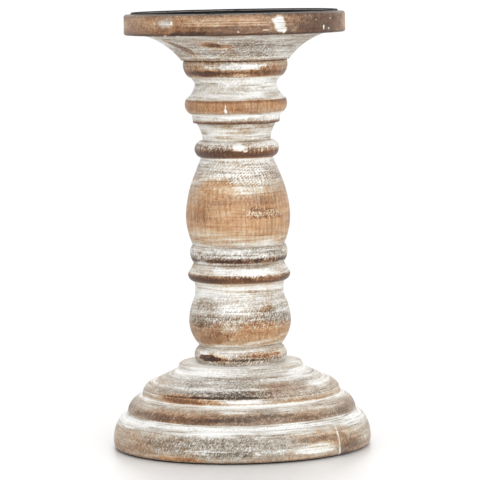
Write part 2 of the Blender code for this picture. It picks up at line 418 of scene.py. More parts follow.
class Graph:
    """Short calls for building a material's nodes."""

    def __init__(self, name):
        self.material = bpy.data.materials.new(name)
        self.material.use_nodes = True
        self.tree = self.material.node_tree
        self.shader = self.tree.nodes["Principled BSDF"]
        coords = self.tree.nodes.new("ShaderNodeTexCoord")
        self.place = coords.outputs["Object"]

    def feed(self, socket, value):
        """Links another node's output, or sets a constant on the socket itself."""
        if isinstance(value, bpy.types.NodeSocket):
            self.tree.links.new(value, socket)
        else:
            socket.default_value = value

    def finish(self, **looks):
        """Feeds the shader's inputs; an input's name is written with underscores."""
        for label, value in looks.items():
            self.feed(self.shader.inputs[label.replace("_", " ")], value)
        return self.material

    def math(self, kind, a, b=0.0, clamp=False):
        node = self.tree.nodes.new("ShaderNodeMath")
        node.operation = kind
        node.use_clamp = clamp
        self.feed(node.inputs[0], a)
        self.feed(node.inputs[1], b)
        return node.outputs[0]

    def add(self, *values):
        total = values[0]
        for value in values[1:]:
            total = self.math("ADD", total, value)
        return total

    def times(self, a, b):
        return self.math("MULTIPLY", a, b)

    def stretch(self, factors, shift=(0.0, 0.0, 0.0)):
        """Object coordinates in millimetres times factors, plus a shift."""
        node = self.tree.nodes.new("ShaderNodeVectorMath")
        node.operation = "MULTIPLY_ADD"
        self.feed(node.inputs[0], self.place)
        node.inputs[1].default_value = [f / MM for f in factors]
        node.inputs[2].default_value = shift
        return node.outputs[0]

    def axes(self):
        """The three object coordinates in millimetres."""
        node = self.tree.nodes.new("ShaderNodeSeparateXYZ")
        self.feed(node.inputs[0], self.stretch((1.0, 1.0, 1.0)))
        return node.outputs

    def leaning(self, size, lean, shift):
        """Coordinates whose features have a size in millimetres and lean in degrees to the right."""
        node = self.tree.nodes.new("ShaderNodeMapping")
        node.vector_type = "TEXTURE"
        self.feed(node.inputs["Vector"], self.place)
        node.inputs["Location"].default_value = [v * MM for v in shift]
        node.inputs["Rotation"].default_value = (0.0, math.radians(lean), 0.0)
        node.inputs["Scale"].default_value = [v * MM for v in size]
        return node.outputs[0]

    def noise(self, vector, detail=3.0, rough=0.55, twist=0.0):
        node = self.tree.nodes.new("ShaderNodeTexNoise")
        self.feed(node.inputs["Vector"], vector)
        node.inputs["Scale"].default_value = 1.0
        node.inputs["Detail"].default_value = detail
        node.inputs["Roughness"].default_value = rough
        node.inputs["Distortion"].default_value = twist
        return node.outputs["Fac"]

    def attribute(self, label):
        node = self.tree.nodes.new("ShaderNodeAttribute")
        node.attribute_name = label
        return node.outputs["Fac"]

    def span(self, value, low, high, to_low=0.0, to_high=1.0):
        """A smooth step from to_low to to_high while the value goes from low to high."""
        node = self.tree.nodes.new("ShaderNodeMapRange")
        node.interpolation_type = "SMOOTHSTEP"
        for socket, number in zip(node.inputs[:5], (value, low, high, to_low, to_high)):
            self.feed(socket, number)
        return node.outputs[0]

    def ramp(self, value, stops):
        node = self.tree.nodes.new("ShaderNodeValToRGB")
        ramp = node.color_ramp
        while len(ramp.elements) < len(stops):
            ramp.elements.new(0.5)
        for element, (where, code) in zip(ramp.elements, stops):
            element.position = where
            element.color = srgb(code)
        self.feed(node.inputs[0], value)
        return node.outputs[0]

    def mix(self, share, a, b):
        """Colour a, with a share of colour b."""
        node = self.tree.nodes.new("ShaderNodeMix")
        node.data_type = "RGBA"
        self.feed(node.inputs[0], share)
        self.feed(node.inputs[6], a)
        self.feed(node.inputs[7], b)
        return node.outputs[2]

    def bump(self, height, distance, strength=1.0, under=None):
        node = self.tree.nodes.new("ShaderNodeBump")
        node.inputs["Strength"].default_value = strength
        node.inputs["Distance"].default_value = distance
        self.feed(node.inputs["Height"], height)
        if under is not None:
            self.feed(node.inputs["Normal"], under)
        return node.outputs["Normal"]


def ring_bands(g, along_x, pith, pitch, seed):
    """Growth rings round a pith line that runs along X or along Z."""
    sway = g.noise(g.stretch((0.03, 0.03, 0.020), (seed, 3.0, 1.0)), 3.0)
    x, y, z = g.axes()
    u, v = (y, z) if along_x else (x, y)
    du = g.math("SUBTRACT", u, pith[0])
    dv = g.math("SUBTRACT", v, pith[1])
    far = g.math("SQRT", g.add(g.times(du, du), g.times(dv, dv)))
    turns = g.add(g.math("DIVIDE", far, pitch), g.times(sway, 4.0))
    return g.math("POWER", g.math("FRACT", turns), 2.2)


def chatter(g):
    """Rows of short leaning tool ticks, from -1 to 1, as a chattering blade leaves them."""
    x, _, z = g.axes()
    sway = g.times(g.noise(g.stretch((0.08, 0.08, 0.10), (6.0, 0.0, 0.0)), 2.0), 14.0)
    across = g.math("SINE", g.add(g.times(x, 3.3), g.times(z, -1.1), sway))
    rows = g.math("SINE", g.add(g.times(z, 2.5), g.times(x, 0.5), sway))
    return g.span(g.times(across, rows), -0.35, 0.35, -1.0, 1.0)


# Wood under ever more wash, from bare and dark to opaque white: greyed, and fresh brown
COOL = [(0.0, "#302822"), (0.2, "#5C5046"), (0.4, "#867A6A"), (0.6, "#ADA395"), (0.75, "#C7C2B8"),
        (0.88, "#DAD9D5"), (1.0, "#F0F0EE")]
WARM = [(0.0, "#382115"), (0.2, "#6A452B"), (0.4, "#9E714B"), (0.6, "#C49D75"), (0.75, "#D2BD9F"),
        (0.88, "#E0D9CB"), (1.0, "#F2F0EA")]


# Dark brown that the wood material paints into grooves as shade
GROOVE_SHADE = "#6B523F"


def whitewashed_wood(name, grain, seed, pith, ring_pitch, ring_depth, contrast=1.0):
    """Brown turned wood under a worn white wash.  grain is "long" (along Z) or "face" (along X)."""
    g = Graph(name)
    face = grain == "face"
    fine = (0.05, 0.6, 0.6) if face else (0.6, 0.6, 0.035)
    pores = (0.50, 2.2, 2.2) if face else (2.2, 2.2, 0.50)
    fibre = g.noise(g.stretch(fine, (seed, 0.0, 0.0)), 4.0, 0.6, 0.2)
    pore = g.noise(g.stretch(pores, (0.0, seed, 0.0)), 2.0, 0.5)
    cloud = g.noise(g.stretch((0.16, 0.16, 0.24), (seed, seed, 0.0)), 3.0, 0.6)
    speck = g.noise(g.leaning((0.9, 0.9, 2.0), 35.0, (0.0, 0.0, seed)), 3.0, 0.65)
    crumb = g.noise(g.stretch((2.0, 2.0, 2.2), (seed, 1.0, 0.0)), 2.0, 0.5)
    brush = g.noise(g.stretch((0.06, 0.06, 1.5), (seed, 0.0, 2.0)), 3.0, 0.6)
    sweep = g.noise(g.stretch((0.03, 0.03, 0.34), (1.0, 4.0, seed)), 3.0, 0.55)
    score = g.noise(g.stretch((0.035, 0.035, 2.1), (2.0, seed, 7.0)), 2.0, 0.5)
    rings = ring_bands(g, face, pith, ring_pitch, seed)
    tone = g.attribute("tone")

    def swing(value, depth):
        return g.times(g.math("SUBTRACT", value, 0.5), depth * contrast)

    # The wash broke up into specks, flakes and pits
    specks = g.add(swing(speck, 1.35), swing(crumb, 0.7))
    chipped = g.add(g.times(speck, 0.7), g.times(pore, 0.5))
    flakes = g.span(chipped, 0.66, 0.73, 0.0, 0.52 * contrast)
    sunken = g.add(g.times(crumb, 0.5), g.times(pore, -0.6), g.times(cloud, 0.25))
    pits = g.span(sunken, 0.16, 0.08, 0.0, 0.30 * contrast)
    broken = g.times(g.add(specks, flakes, g.times(pits, -1.0)), g.attribute("speck"))

    # Bare wood shows its fibres and rings
    ring_shade = g.times(g.times(rings, g.span(cloud, 0.42, 0.58)), -ring_depth)
    grainy = g.times(g.add(swing(fibre, 0.34), ring_shade), g.span(tone, 0.45, 0.95, 1.0, 0.25))

    # Washed wood shows brush strokes, thick and thin sweeps and score lines
    strokes = g.add(swing(brush, 0.60), g.span(score, 0.60, 0.65, 0.0, 0.12),
                    g.span(score, 0.40, 0.35, 0.0, -0.20), g.span(sweep, 0.38, 0.62, -0.11, 0.09))
    strokes = g.times(strokes, g.span(tone, 0.50, 0.78, 0.14, 1.0))

    ticks = g.times(chatter(g), g.attribute("tick"))
    level = g.add(tone, broken, grainy, strokes, swing(cloud, 0.20), ticks)
    level = g.add(g.times(level, 0.65), g.span(level, 0.15, 0.85, 0.0, 0.35))
    heat = g.math("ADD", g.attribute("warm"), swing(cloud, -0.8), True)
    colour = g.mix(heat, g.ramp(level, COOL), g.ramp(level, WARM))
    # Painted shade: grooves are darkened towards a dark brown, broken up by speckle noise
    groove_shade = g.times(g.span(g.attribute("groove"), 0.3, 1.0), g.span(speck, 0.50, 0.62, 0.0, 0.45))

    cover = g.span(level, 0.55, 0.90)
    fibres = g.bump(g.add(g.times(fibre, -1.0), g.times(flakes, 0.8)), 0.00010, 0.7)
    brushed = g.bump(brush, 0.00012, 0.6, fibres)
    return g.finish(
        Base_Color=g.mix(groove_shade, colour, srgb(GROOVE_SHADE)),
        Roughness=g.add(g.times(cover, 0.20), g.times(fibre, 0.18), 0.42),
        Normal=g.bump(g.add(cover, g.times(crumb, 0.3)), 0.00012, 0.8, brushed),
        Specular_IOR_Level=0.35,
        Sheen_Weight=0.15,
        Sheen_Roughness=0.45,
        Sheen_Tint=(1.0, 0.99, 0.97, 1.0))


# How far below the lip top the painted highlight line runs, in millimetres
LIP_HIGHLIGHT_DROP = 0.85


def black_steel(lip_top):
    """Black painted sheet steel with dust, fine scratches and a painted highlight line just below its
    lip.
    """
    g = Graph("black_steel")
    orange_peel = g.noise(g.stretch((1.6, 1.6, 1.6)), 2.0)
    dust = g.noise(g.stretch((0.16, 0.16, 0.3), (4.0, 0.0, 0.0)), 4.0, 0.6)
    hair = g.noise(g.stretch((0.25, 6.0, 4.0), (0.0, 9.0, 0.0)), 3.0, 0.6)
    scratch = g.span(hair, 0.66, 0.70)
    colour = g.ramp(dust, [(0.30, "#060606"), (0.55, "#0B0A0A"), (0.80, "#1E1C1A")])
    colour = g.mix(g.times(scratch, 0.35), colour, srgb("#4A4643"))
    _, _, z = g.axes()
    # Painted highlight: a pale grey line just below the lip stands in for the lip's reflection
    drop = g.math("ABSOLUTE", g.math("SUBTRACT", z, lip_top - LIP_HIGHLIGHT_DROP))
    lip_highlight = g.times(g.span(drop, 0.10, 0.30, 1.0, 0.0), g.span(dust, 0.30, 0.50, 0.35, 0.8))
    return g.finish(
        Base_Color=g.mix(lip_highlight, colour, srgb("#A8A29C")),
        Roughness=g.add(g.times(dust, 0.30), g.times(scratch, -0.10), 0.46),
        Normal=g.bump(g.add(orange_peel, g.times(scratch, -0.6)), 0.00003, 0.5),
        Specular_IOR_Level=0.12)


def zinc_steel():
    """Bright zinc plating with fine turning marks and cloudy passivation."""
    g = Graph("zinc_steel")
    cloud = g.noise(g.stretch((0.5, 0.5, 0.5)), 3.0)
    lathe = g.noise(g.stretch((0.4, 0.4, 9.0)), 2.0)
    return g.finish(
        Base_Color=g.ramp(cloud, [(0.3, "#9A9C9E"), (0.55, "#BFC1C2"), (0.75, "#C9C4B4")]),
        Roughness=g.add(g.times(cloud, 0.3), 0.22),
        Normal=g.bump(lathe, 0.00002, 0.5),
        Metallic=1.0)


def beech():
    """Plain beech with short dark flecks along the dowel."""
    g = Graph("beech")
    fibre = g.noise(g.stretch((2.2, 2.2, 0.15)), 4.0, 0.6)
    fleck = g.span(g.noise(g.stretch((3.2, 3.2, 0.7), (5.0, 0.0, 0.0)), 2.0), 0.62, 0.70)
    wood = g.ramp(fibre, [(0.3, "#B98A58"), (0.5, "#CFA574"), (0.7, "#DDB98C")])
    return g.finish(
        Base_Color=g.mix(g.times(fleck, 0.6), wood, srgb("#8A5B34")),
        Roughness=g.add(g.times(fibre, 0.2), 0.55),
        Normal=g.bump(g.add(fibre, fleck), 0.00008, 0.6))


def felt():
    """Dark pressed felt: matted fibres with lint and a soft nap."""
    g = Graph("felt")
    mat = g.noise(g.stretch((1.4, 1.4, 1.4)), 5.0, 0.7, 1.2)
    lint = g.span(g.noise(g.stretch((3.0, 3.0, 3.0), (8.0, 0.0, 0.0)), 3.0, 0.6, 2.0), 0.64, 0.70)
    shade = g.ramp(mat, [(0.3, "#1B1815"), (0.55, "#2B2622"), (0.75, "#3C3631")])
    return g.finish(
        Base_Color=g.mix(g.times(lint, 0.5), shade, srgb("#7A716A")),
        Roughness=g.add(g.times(mat, 0.1), 0.88),
        Normal=g.bump(g.add(mat, lint), 0.0002, 0.8),
        Sheen_Weight=0.4,
        Sheen_Roughness=0.6)


# ---------------------------------------------------------------- the pieces

# Bores inside the sections: radii, depths from each joint's face, and heights
DOWEL_HOLE_R = 6.3
TOP_DOWEL_DEPTH = 9.5
UPPER_DOWEL_DEPTH = 13.0
MIDDLE_DOWEL_DEPTH = 9.0
LOWER_DOWEL_DEPTH = 9.3
SCREW_HOLE_R = 3.4
SCREW_HOLE_TOP = 91.0
COUNTERBORE_R = 12.0
COUNTERBORE_TOP = 13.5
PAN_WELL_FLOOR = 247.7
DIMPLE_TOP_R = 5.4
DIMPLE_FOOT_R = 3.4
PAN_SCREW_R = 2.0
PAN_SCREW_TIP = 238.0


def between_dowels(lower_end, upper_end, high):
    """Inner outline of a section with a blind dowel hole in each end, from its top face down."""
    return [(DOWEL_HOLE_R, high), (DOWEL_HOLE_R, upper_end), (0.0, upper_end),
            (0.0, lower_end), (DOWEL_HOLE_R, lower_end)]


def top_plate():
    """The wide plate: a dark rim over a pale concave flare, with a well for the pan."""
    low, high = node_levels("top_plate", CLOSE)
    rim_low = 241.0
    rim_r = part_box("top_plate")[1].x / MM
    seat_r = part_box("candle_pan")[1].x / MM + 0.3
    seat_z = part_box("candle_pan")[0].z / MM
    flare = bow((31.5, low), (54.0, rim_low - 0.2), -2.2, 30)
    outer = flare + [(57.0, rim_low), (rim_r - 0.7, rim_low), (rim_r, rim_low + 0.8),
                     (rim_r, high - 1.0), (rim_r - 0.9, high), (seat_r, high)]
    dimple_z = seat_z - 0.4
    inner = [(seat_r, PAN_WELL_FLOOR), (DIMPLE_TOP_R, PAN_WELL_FLOOR), (DIMPLE_FOOT_R, dimple_z),
             (PAN_SCREW_R, dimple_z),
             (PAN_SCREW_R, PAN_SCREW_TIP), (0.0, PAN_SCREW_TIP), (0.0, low + TOP_DOWEL_DEPTH),
             (DOWEL_HOLE_R, low + TOP_DOWEL_DEPTH), (DOWEL_HOLE_R, low)]
    look = [(226, 0.50, 0.5, 0.4), (227.5, 0.78, 0.3, 0.5), (231, 0.80, 0.15, 0.6),
            (237, 0.78, 0.15, 0.5), (240.4, 0.72, 0.2, 0.4), (241.2, 0.16, 0.7, 0.2),
            (242.6, 0.40, 0.8, 0.15), (248, 0.48, 0.85, 0.2), (251.2, 0.46, 0.8, 0.2),
            (252.6, 0.34, 0.6, 0.3)]
    patches = [
        # Rim
        ("tone", -38, 248, 4, 2.2, 0, 0.20),
        ("warm", -38, 248, 5, 3, 0, -0.5),
        ("tone", -12, 247, 10, 1.2, 0, 0.08),
        ("tone", -4, 246.9, 34, 0.22, 0, 0.18),
        ("tone", 4, 249.6, 20, 0.18, 0, 0.12),
        ("tone", 0, 248.2, 26, 0.16, 0, 0.16),
        ("tone", -10, 250.4, 16, 0.16, 0, 0.12),
        ("tone", -8, 245, 30, 3, 0, -0.08),
        # Flare
        ("tone", -17, 235, 9, 1.6, -0.05, -0.42),
        ("warm", -17, 235, 14, 3, -0.05, 0.9),
        ("speck", 14, 233, 24, 5, 0, 0.15),
        ("tone", -14, 231.6, 12, 2.2, 0, 0.12),
        ("tone", -50, 233.5, 12, 2.2, -0.32, -0.38),
        ("warm", -50, 233.5, 14, 3, -0.32, 0.5),
        ("tone", 4, 232, 26, 5, 0, -0.14),
        ("tone", 30, 230, 12, 3, 0, -0.12),
        # Rim again
        ("tone", -25, 242.4, 14, 1.2, 0, -0.22),
        ("tone", 50, 247, 24, 6, 0, -0.17),
        ("warm", 30, 247, 40, 6, 0, -0.25),
        # Sides and back, which the photo doesn't show
        ("tone", -130, 247, 9, 3, 0, 0.3),
        ("tone", 110, 234, 12, 3, 0.2, -0.35),
        ("tone", -160, 232, 14, 3, 0, -0.3),
    ]
    chips = [(23.0, 247.0, 3.6, 4.6), (25.8, 243.6, 1.8, 2.2), (1.8, 243.0, 0.6, 0.4),
             (16.0, 243.8, 2.0, 0.35), (52.0, 244.2, 0.7, 1.3), (56.5, 243.6, 0.4, 0.5),
             (46.0, 248.6, 0.4, 0.4), (58.0, 249.4, 0.5, 0.4), (-33.5, 248.6, 0.5, 1.4),
             (-38.0, 241.2, 0.8, 0.4), (-30.0, 241.0, 1.2, 0.4), (150.0, 246.0, 4.0, 3.4)]
    nicks = [(rim_low + 0.4, 16, 0.5, 1.2), (high - 0.4, 9, 0.35, 1.1)]
    piece = turned("plate_wood", outer, inner, PLATE_SIDES, look, patches,
                   seed=11, nicks=nicks, chips=chips)
    wood = whitewashed_wood("plate_wash", "face", seed=2.3, pith=(15.0, 190.0),
                            ring_pitch=1.9, ring_depth=0.05)
    put(piece, "top_plate", wood)


def stem_upper():
    """The top of the stem: bead, neck, brown band and taper."""
    low, high = node_levels("stem_upper", CLOSE, CLOSE)
    taper = bow((19.8, low), (23.3, 189.2), -0.7)
    ring = [(25.2, 189.4), (25.9, 194.2)]
    band = bow((26.8, 194.6), (28.9, 203.5), 1.9, 20)
    neck = bow((28.2, 203.8), (23.8, 212.0), -0.8) + bow((23.8, 212.0), (26.7, 215.8), -0.4)
    bead = bow((27.4, 216.1), (30.3, high - 0.7), 1.3, 20)
    outer = [(DOWEL_HOLE_R, low)] + taper + ring + band + neck + bead + [(29.7, high)]
    inner = between_dowels(low + UPPER_DOWEL_DEPTH, high - TOP_DOWEL_DEPTH, high)
    look = [(179, 0.84, 0.4, 0.3), (181, 0.80, 0.35, 0.3), (186, 0.77, 0.4, 0.3),
            (188.6, 0.70, 0.4, 0.3), (189.3, 0.24, 0.8, 0.3), (190.6, 0.52, 0.6, 0.4),
            (191.6, 0.86, 0.2, 0.4), (194.8, 0.90, 0.25, 0.3), (195.8, 0.62, 0.8, 0.3),
            (198, 0.54, 0.95, 0.15), (201, 0.50, 1.0, 0.12), (202.8, 0.36, 0.9, 0.1),
            (203.4, 0.80, 0.4, 0.3), (205, 0.90, 0.12, 0.3), (213, 0.88, 0.12, 0.35),
            (215.8, 0.78, 0.4, 0.4), (217.0, 0.46, 0.8, 0.3), (219, 0.44, 0.9, 0.3),
            (221, 0.66, 0.6, 0.4), (224, 0.70, 0.5, 0.4), (225.5, 0.50, 0.5, 0.4)]
    patches = [
        # Bead
        ("tone", 2, 222.4, 34, 1.9, 0, 0.42),
        ("warm", 2, 222.4, 34, 1.9, 0, -0.6),
        ("tone", 40, 220.5, 20, 2.6, 0, -0.05),
        ("warm", 40, 220.5, 22, 4.2, 0, 0.25),
        ("tone", -38, 218.6, 26, 1.6, 0, -0.20),
        ("tone", 6, 217.4, 14, 1, 0, 0.24),
        # Neck and taper
        ("tone", -20, 206, 16, 0.8, 0, 0.10),
        ("tone", 22, 211.5, 18, 0.7, 0, -0.16),
        ("tone", -30, 212.5, 16, 0.6, 0, -0.16),
        ("tone", 10, 184, 30, 1.6, 0, -0.12),
        ("tone", -20, 181.5, 20, 0.9, 0, -0.12),
        ("tone", 8, 209.5, 14, 0.9, 0, -0.12),
        ("tone", 45, 208, 12, 4, 0, -0.08),
        # Sides and back, which the photo doesn't show
        ("tone", 140, 221, 20, 2.2, 0, 0.3),
        ("tone", -120, 199, 12, 2.4, 0, 0.3),
        ("tone", 170, 209, 20, 3, 0, -0.25),
    ]
    chips = [(-12.0, 197.0, 1.6, 1.6), (-11.5, 199.6, 0.8, 1.2), (-160.0, 199.0, 4.0, 1.6)]
    nicks = [(189.4, 8, 0.3, 0.9), (203.4, 6, 0.25, 0.9)]
    piece = turned("upper_wood", outer, inner, UPPER_SIDES, look, patches,
                   seed=23, nicks=nicks, chips=chips)
    wood = whitewashed_wood("upper_wash", "long", seed=5.1, pith=(62.0, -20.0),
                            ring_pitch=2.0, ring_depth=0.08)
    put(piece, "stem_upper", wood)


def stem_bulb():
    """The barrel-shaped bulb under its dark ring."""
    low, high = node_levels("stem_bulb", CLOSE, CLOSE)
    belly_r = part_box("stem_bulb")[1].x / MM
    belly = bow((26.6, low), (belly_r, 136.0), 1.1, 24)
    shoulder = bow((belly_r, 136.0), (26.4, 156.0), 0.8, 24)
    ring = bow((21.3, 169.2), (21.5, high), 3.3, 24)
    outer = [(DOWEL_HOLE_R, low)] + belly + shoulder[1:] + [(21.2, 168.7)] + ring
    inner = between_dowels(low + MIDDLE_DOWEL_DEPTH, high - UPPER_DOWEL_DEPTH, high)
    look = [(118, 0.88, 0.4, 0.3), (119.5, 0.82, 0.4, 0.3), (121, 0.72, 0.6, 0.2),
            (124, 0.65, 0.75, 0.12), (130, 0.55, 0.95, 0.1), (140, 0.57, 1.0, 0.12),
            (147, 0.61, 0.85, 0.2), (154, 0.69, 0.55, 0.3), (158, 0.76, 0.35, 0.45),
            (166, 0.80, 0.25, 0.5), (168.8, 0.86, 0.2, 0.4), (169.6, 0.50, 0.8, 0.3),
            (170.6, 0.25, 0.95, 0.2), (173.2, 0.34, 0.9, 0.3), (174.8, 0.62, 0.6, 0.8),
            (176.4, 0.80, 0.3, 0.8), (178.5, 0.90, 0.2, 0.5)]
    patches = [
        # Bulb
        ("tone", -26, 153, 20, 5, 0, -0.07),
        ("warm", -26, 153, 26, 6, 0, 0.5),
        ("tone", 18, 157, 24, 8, 0.15, 0.10),
        ("tick", 24, 160, 34, 8, 0.10, 0.11),
        ("tick", -16, 160, 20, 5, 0, 0.07),
        ("tone", -44, 138, 12, 11, 0, -0.06),
        ("tone", 30, 138, 26, 2, 0, 0.06),
        ("speck", 28, 138, 26, 3.2, 0, 0.6),
        ("tone", 0, 124, 60, 2.2, 0, 0.06),
        # Ring
        ("tone", 4, 175.3, 10, 2.4, 0, 0.30),
        ("tone", -30, 173.5, 26, 2.6, 0, -0.06),
        # Sides and back, which the photo doesn't show
        ("tone", 150, 150, 26, 10, 0.1, 0.18),
        ("tone", -120, 140, 20, 6, 0, 0.15),
        ("tone", 110, 134, 18, 8, 0, -0.12),
    ]
    chips = [(2.0, 175.6, 9.0, 1.8), (12.0, 173.8, 3.0, 0.8), (36.0, 174.2, 1.4, 1.2),
             (46.0, 174.8, 1.0, 1.2), (160.0, 174.0, 6.0, 1.4)]
    nicks = [(173.5, 6, 0.2, 1.0)]
    piece = turned("bulb_wood", outer, inner, UPPER_SIDES, look, patches,
                   seed=37, nicks=nicks, chips=chips)
    wood = whitewashed_wood("bulb_wash", "long", seed=9.7, pith=(60.0, -10.0),
                            ring_pitch=2.6, ring_depth=0.14)
    put(piece, "stem_bulb", wood)


def stem_disc():
    """The thin speckled disc under the bulb."""
    low, high = node_levels("stem_disc", CLOSE, CLOSE)
    edge = bow((26.1, low), (27.3, high), 1.8, 24)
    outer = [(DOWEL_HOLE_R, low)] + edge
    inner = [(DOWEL_HOLE_R, high)]
    look = [(107.7, 0.86, 0.3, 0.5), (108.8, 0.82, 0.4, 0.6), (109.4, 0.50, 0.6, 0.6),
            (110.0, 0.26, 0.85, 0.4), (111.0, 0.34, 0.8, 0.8), (111.8, 0.74, 0.3, 0.8),
            (113.2, 0.92, 0.15, 0.6), (115.5, 0.94, 0.1, 0.55), (118, 0.86, 0.2, 0.4)]
    patches = [
        ("tone", -52, 109.8, 12, 1.8, 0, 0.40),
        ("warm", -52, 109.8, 14, 2.2, 0, -0.5),
        ("tone", 12, 110.5, 10, 1, 0, 0.26),
        ("tone", 34, 110.3, 8, 0.8, 0, 0.22),
        ("tone", -20, 110.6, 14, 1.3, 0, -0.10),
        ("tone", 48, 114.5, 16, 1.6, 0, -0.12),
        # Painted light: the front of the disc's upper part is made paler and cooler, as if more light
        # fell there
        ("tone", 0, 116.6, 40, 1.8, 0, 0.10),
        ("warm", 0, 116, 50, 2.6, 0, -0.4),
        # Sides and back, which the photo doesn't show
        ("tone", 160, 110, 20, 1.5, 0, 0.3),
    ]
    nicks = [(109.5, 7, 0.25, 0.9)]
    piece = turned("disc_wood", outer, inner, LOWER_SIDES, look, patches,
                   seed=41, nicks=nicks)
    wood = whitewashed_wood("disc_wash", "long", seed=12.4, pith=(-55.0, 12.0),
                            ring_pitch=2.0, ring_depth=0.05, contrast=1.15)
    put(piece, "stem_disc", wood)


def stem_lower():
    """The lower vase under its sharp dark ring."""
    low, high = node_levels("stem_lower", CLOSE, CLOSE)
    belly = bow((23.4, low), (29.9, 73.0), 1.4, 24)
    shoulder = bow((29.9, 73.0), (27.6, 85.0), 0.6)
    neck = bow((27.6, 85.0), (26.5, 96.8), -1.2)
    ring = bow((27.1, 97.2), (30.0, 100.9), 0.7) + [(29.8, 101.8), (26.5, high)]
    outer = [(SCREW_HOLE_R, low)] + belly + shoulder[1:] + neck[1:] + ring
    floor = high - LOWER_DOWEL_DEPTH
    inner = [(DOWEL_HOLE_R, high), (DOWEL_HOLE_R, floor), (0.0, floor), (0.0, SCREW_HOLE_TOP),
             (SCREW_HOLE_R, SCREW_HOLE_TOP)]
    look = [(59, 0.86, 0.3, 0.3), (61, 0.78, 0.5, 0.3), (62.5, 0.64, 0.8, 0.25), (66, 0.60, 0.95, 0.2),
            (71, 0.58, 0.9, 0.3), (74, 0.60, 0.6, 0.7), (76.5, 0.74, 0.2, 0.75), (84, 0.82, 0.10, 0.5),
            (90, 0.84, 0.15, 0.3), (95, 0.78, 0.4, 0.3), (97.2, 0.74, 0.6, 0.3),
            (98.3, 0.30, 0.95, 0.15), (100.6, 0.28, 0.95, 0.3), (101.6, 0.50, 0.7, 0.5),
            (102.6, 0.88, 0.3, 0.4), (105, 0.88, 0.35, 0.35), (107.4, 0.86, 0.3, 0.4)]
    patches = [
        # Vase
        ("tone", -36, 65, 26, 3.4, 0.08, -0.14),
        ("tone", -50, 75, 20, 3, 0, -0.18),
        ("warm", 26, 72, 20, 4, 0, 0.6),
        ("tone", 26, 72, 16, 2.6, 0, 0.03),
        ("tone", -12, 71.5, 10, 3.4, 0, 0.14),
        ("warm", -12, 71.5, 12, 3.4, 0, -0.4),
        ("tone", 30, 63.8, 34, 1.3, 0.06, 0.24),
        ("tone", 34, 83, 11, 2, 0.10, -0.18),
        ("warm", 34, 83, 12, 2.4, 0.10, 0.5),
        ("tone", -48, 86, 22, 4, 0, -0.16),
        ("tone", -6, 80, 26, 4, 0, 0.12),
        # Ring and the cone above it
        ("tone", -42, 100, 32, 2.4, 0, -0.10),
        ("tone", 36, 100.4, 22, 1.6, 0, 0.16),
        ("tone", 18, 102.4, 14, 0.9, 0, 0.2),
        ("speck", 16, 101.4, 30, 1.4, 0, 0.5),
        ("tone", 2, 104.8, 34, 1.8, 0, 0.12),
        ("warm", 2, 104.8, 40, 2.4, 0, -0.3),
        # Sides and back, which the photo doesn't show
        ("tone", 130, 68, 22, 4, 0, 0.2),
        ("tone", -150, 80, 20, 5, 0, -0.2),
    ]
    nicks = [(100.9, 14, 0.35, 0.9)]
    piece = turned("lower_wood", outer, inner, LOWER_SIDES, look, patches,
                   seed=53, nicks=nicks)
    wood = whitewashed_wood("lower_wash", "long", seed=15.9, pith=(-58.0, 20.0),
                            ring_pitch=2.0, ring_depth=0.08)
    put(piece, "stem_lower", wood)


def stem_collar():
    """The short collar between the lower vase and the base."""
    low, high = node_levels("stem_collar", CLOSE, CLOSE)
    edge = bow((25.4, low), (24.6, high), 2.1, 24)
    outer = [(SCREW_HOLE_R, low)] + edge
    inner = [(SCREW_HOLE_R, high)]
    look = [(49.5, 0.90, 0.3, 0.4), (51.2, 0.84, 0.25, 0.6), (53.0, 0.82, 0.3, 0.7),
            (55.2, 0.82, 0.5, 0.5), (56.4, 0.86, 0.3, 0.4), (59, 0.90, 0.2, 0.3)]
    patches = [
        ("tone", -44, 53.8, 18, 1.8, 0, -0.58),
        ("tone", -30, 53.2, 14, 1.3, 0, -0.42),
        ("warm", -36, 54, 22, 2.6, 0, 1),
        ("tone", 6, 53, 26, 0.5, 0, -0.40),
        ("warm", 34, 55.4, 26, 1.8, 0, 0.6),
        ("tone", 38, 55.4, 24, 1.4, 0, -0.26),
        # Sides and back, which the photo doesn't show
        ("tone", 150, 54, 24, 2, 0, -0.45),
    ]
    chips = [(-52.0, 56.2, 10.0, 0.7)]
    nicks = [(54.0, 5, 0.2, 1.0)]
    piece = turned("collar_wood", outer, inner, LOWER_SIDES, look, patches,
                   seed=61, nicks=nicks, chips=chips)
    wood = whitewashed_wood("collar_wash", "long", seed=18.2, pith=(50.0, -36.0),
                            ring_pitch=2.0, ring_depth=0.05, contrast=1.15)
    put(piece, "stem_collar", wood)


